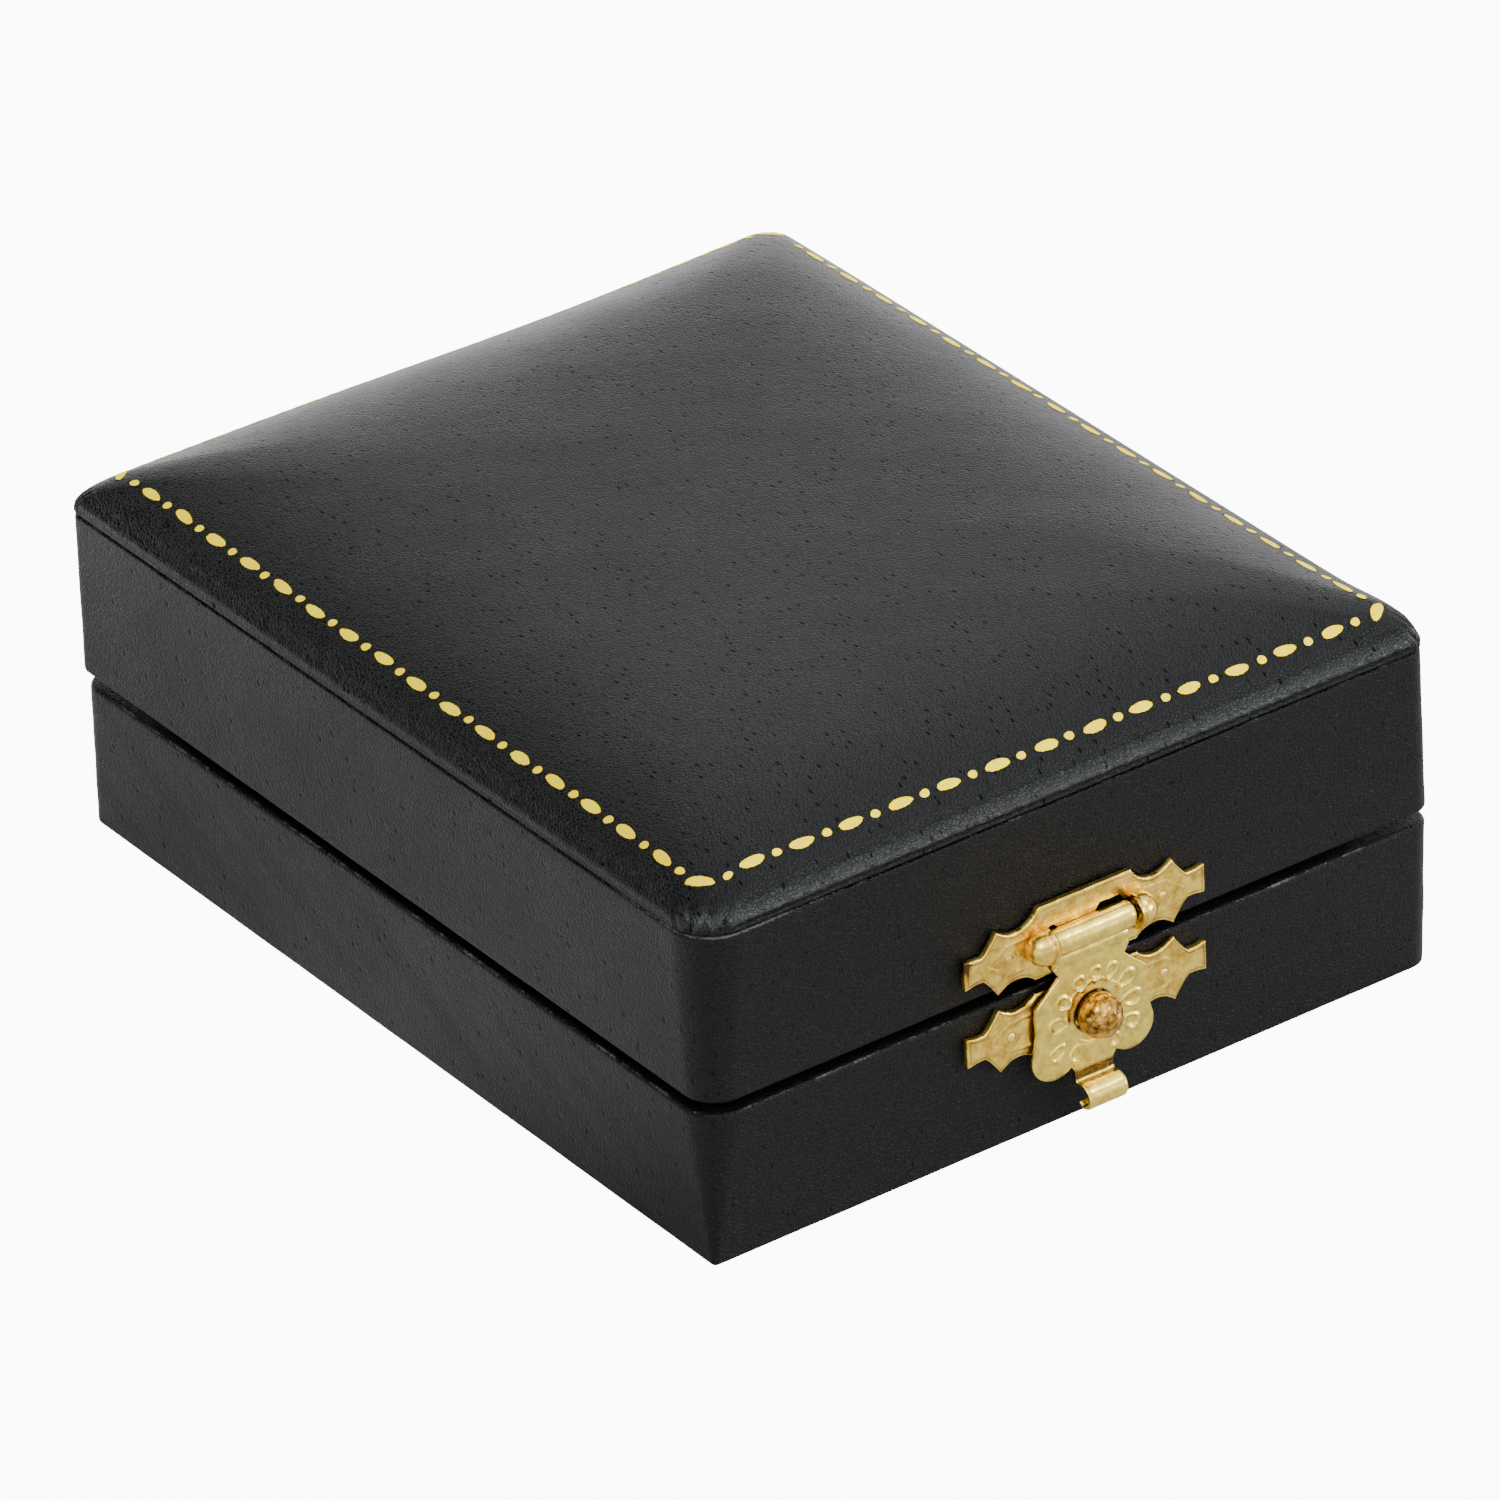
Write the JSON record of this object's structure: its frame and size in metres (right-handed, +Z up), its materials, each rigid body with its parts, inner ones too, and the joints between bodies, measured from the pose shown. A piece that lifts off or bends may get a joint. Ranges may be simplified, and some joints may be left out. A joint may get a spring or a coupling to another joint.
{
  "type": "hinged jewelry gift box",
  "caption": "Small rectangular jewelry gift box, black grained leatherette, padded hinged lid with a gold foil border, stamped brass clasp on the front.",
  "frame": {"origin": "centre of the flat underside, at the level the box rests on", "axes": "+Z up; +Y towards the rear hinges, so the clasp is on the -Y side; +X to the right along the front"},
  "size_m": [0.076, 0.0986, 0.0379],
  "materials": {
    "leatherette": "black fine-grained leatherette, semi-matt",
    "card": "dark pressed board, matt",
    "lip_card": "dark brown flocked card",
    "foot_paper": "black textured paper",
    "foam": "grey open foam",
    "velvet": "black velvet",
    "satin": "ivory satin",
    "clasp_brass": "pale stamped brass, slightly tarnished",
    "knob_brass": "darker worn brass",
    "nail_brass": "brass-plated nail",
    "hinge_brass": "brass-plated steel"
  },
  "bodies": {
    "base": {"base_tray": "card", "base_cover": "leatherette", "base_foot_sheet": "foot_paper", "base_lip": "lip_card", "insert_foam": "foam", "insert_pad": "velvet", "strike_plate": "clasp_brass", "strike_knob": "knob_brass", "strike_nail_left": "nail_brass", "strike_nail_right": "nail_brass", "hinge_base_leaf_left": "hinge_brass", "hinge_base_leaf_right": "hinge_brass", "hinge_pin_left": "hinge_brass", "hinge_pin_right": "hinge_brass", "hinge_base_nail_left_inner": "nail_brass", "hinge_base_nail_left_outer": "nail_brass", "hinge_base_nail_right_inner": "nail_brass", "hinge_base_nail_right_outer": "nail_brass"},
    "lid": {"lid_frame": "card", "lid_side_cover": "leatherette", "lid_top_cover": "leatherette", "lid_foam": "foam", "lid_lining_pad": "satin", "hinge_lid_leaf_left": "hinge_brass", "hinge_lid_leaf_right": "hinge_brass", "hinge_lid_nail_left_inner": "nail_brass", "hinge_lid_nail_left_outer": "nail_brass", "hinge_lid_nail_right_inner": "nail_brass", "hinge_lid_nail_right_outer": "nail_brass", "clasp_plate": "clasp_brass", "clasp_nail_left": "nail_brass", "clasp_nail_right": "nail_brass", "clasp_pin": "clasp_brass"},
    "hasp": {"hasp": "clasp_brass"}
  },
  "joints": [
    {"name": "lid_hinge", "type": "hinge", "parent": "base", "child": "lid", "pos_m": [0, 0.0463, 0.01463], "axis": [-1, 0, 0], "range_deg": [0, 95]},
    {"name": "hasp_hinge", "type": "hinge", "parent": "lid", "child": "hasp", "pos_m": [0.00045, -0.0482, 0.0186], "axis": [-1, 0, 0], "range_deg": [0, 165]}
  ]
}
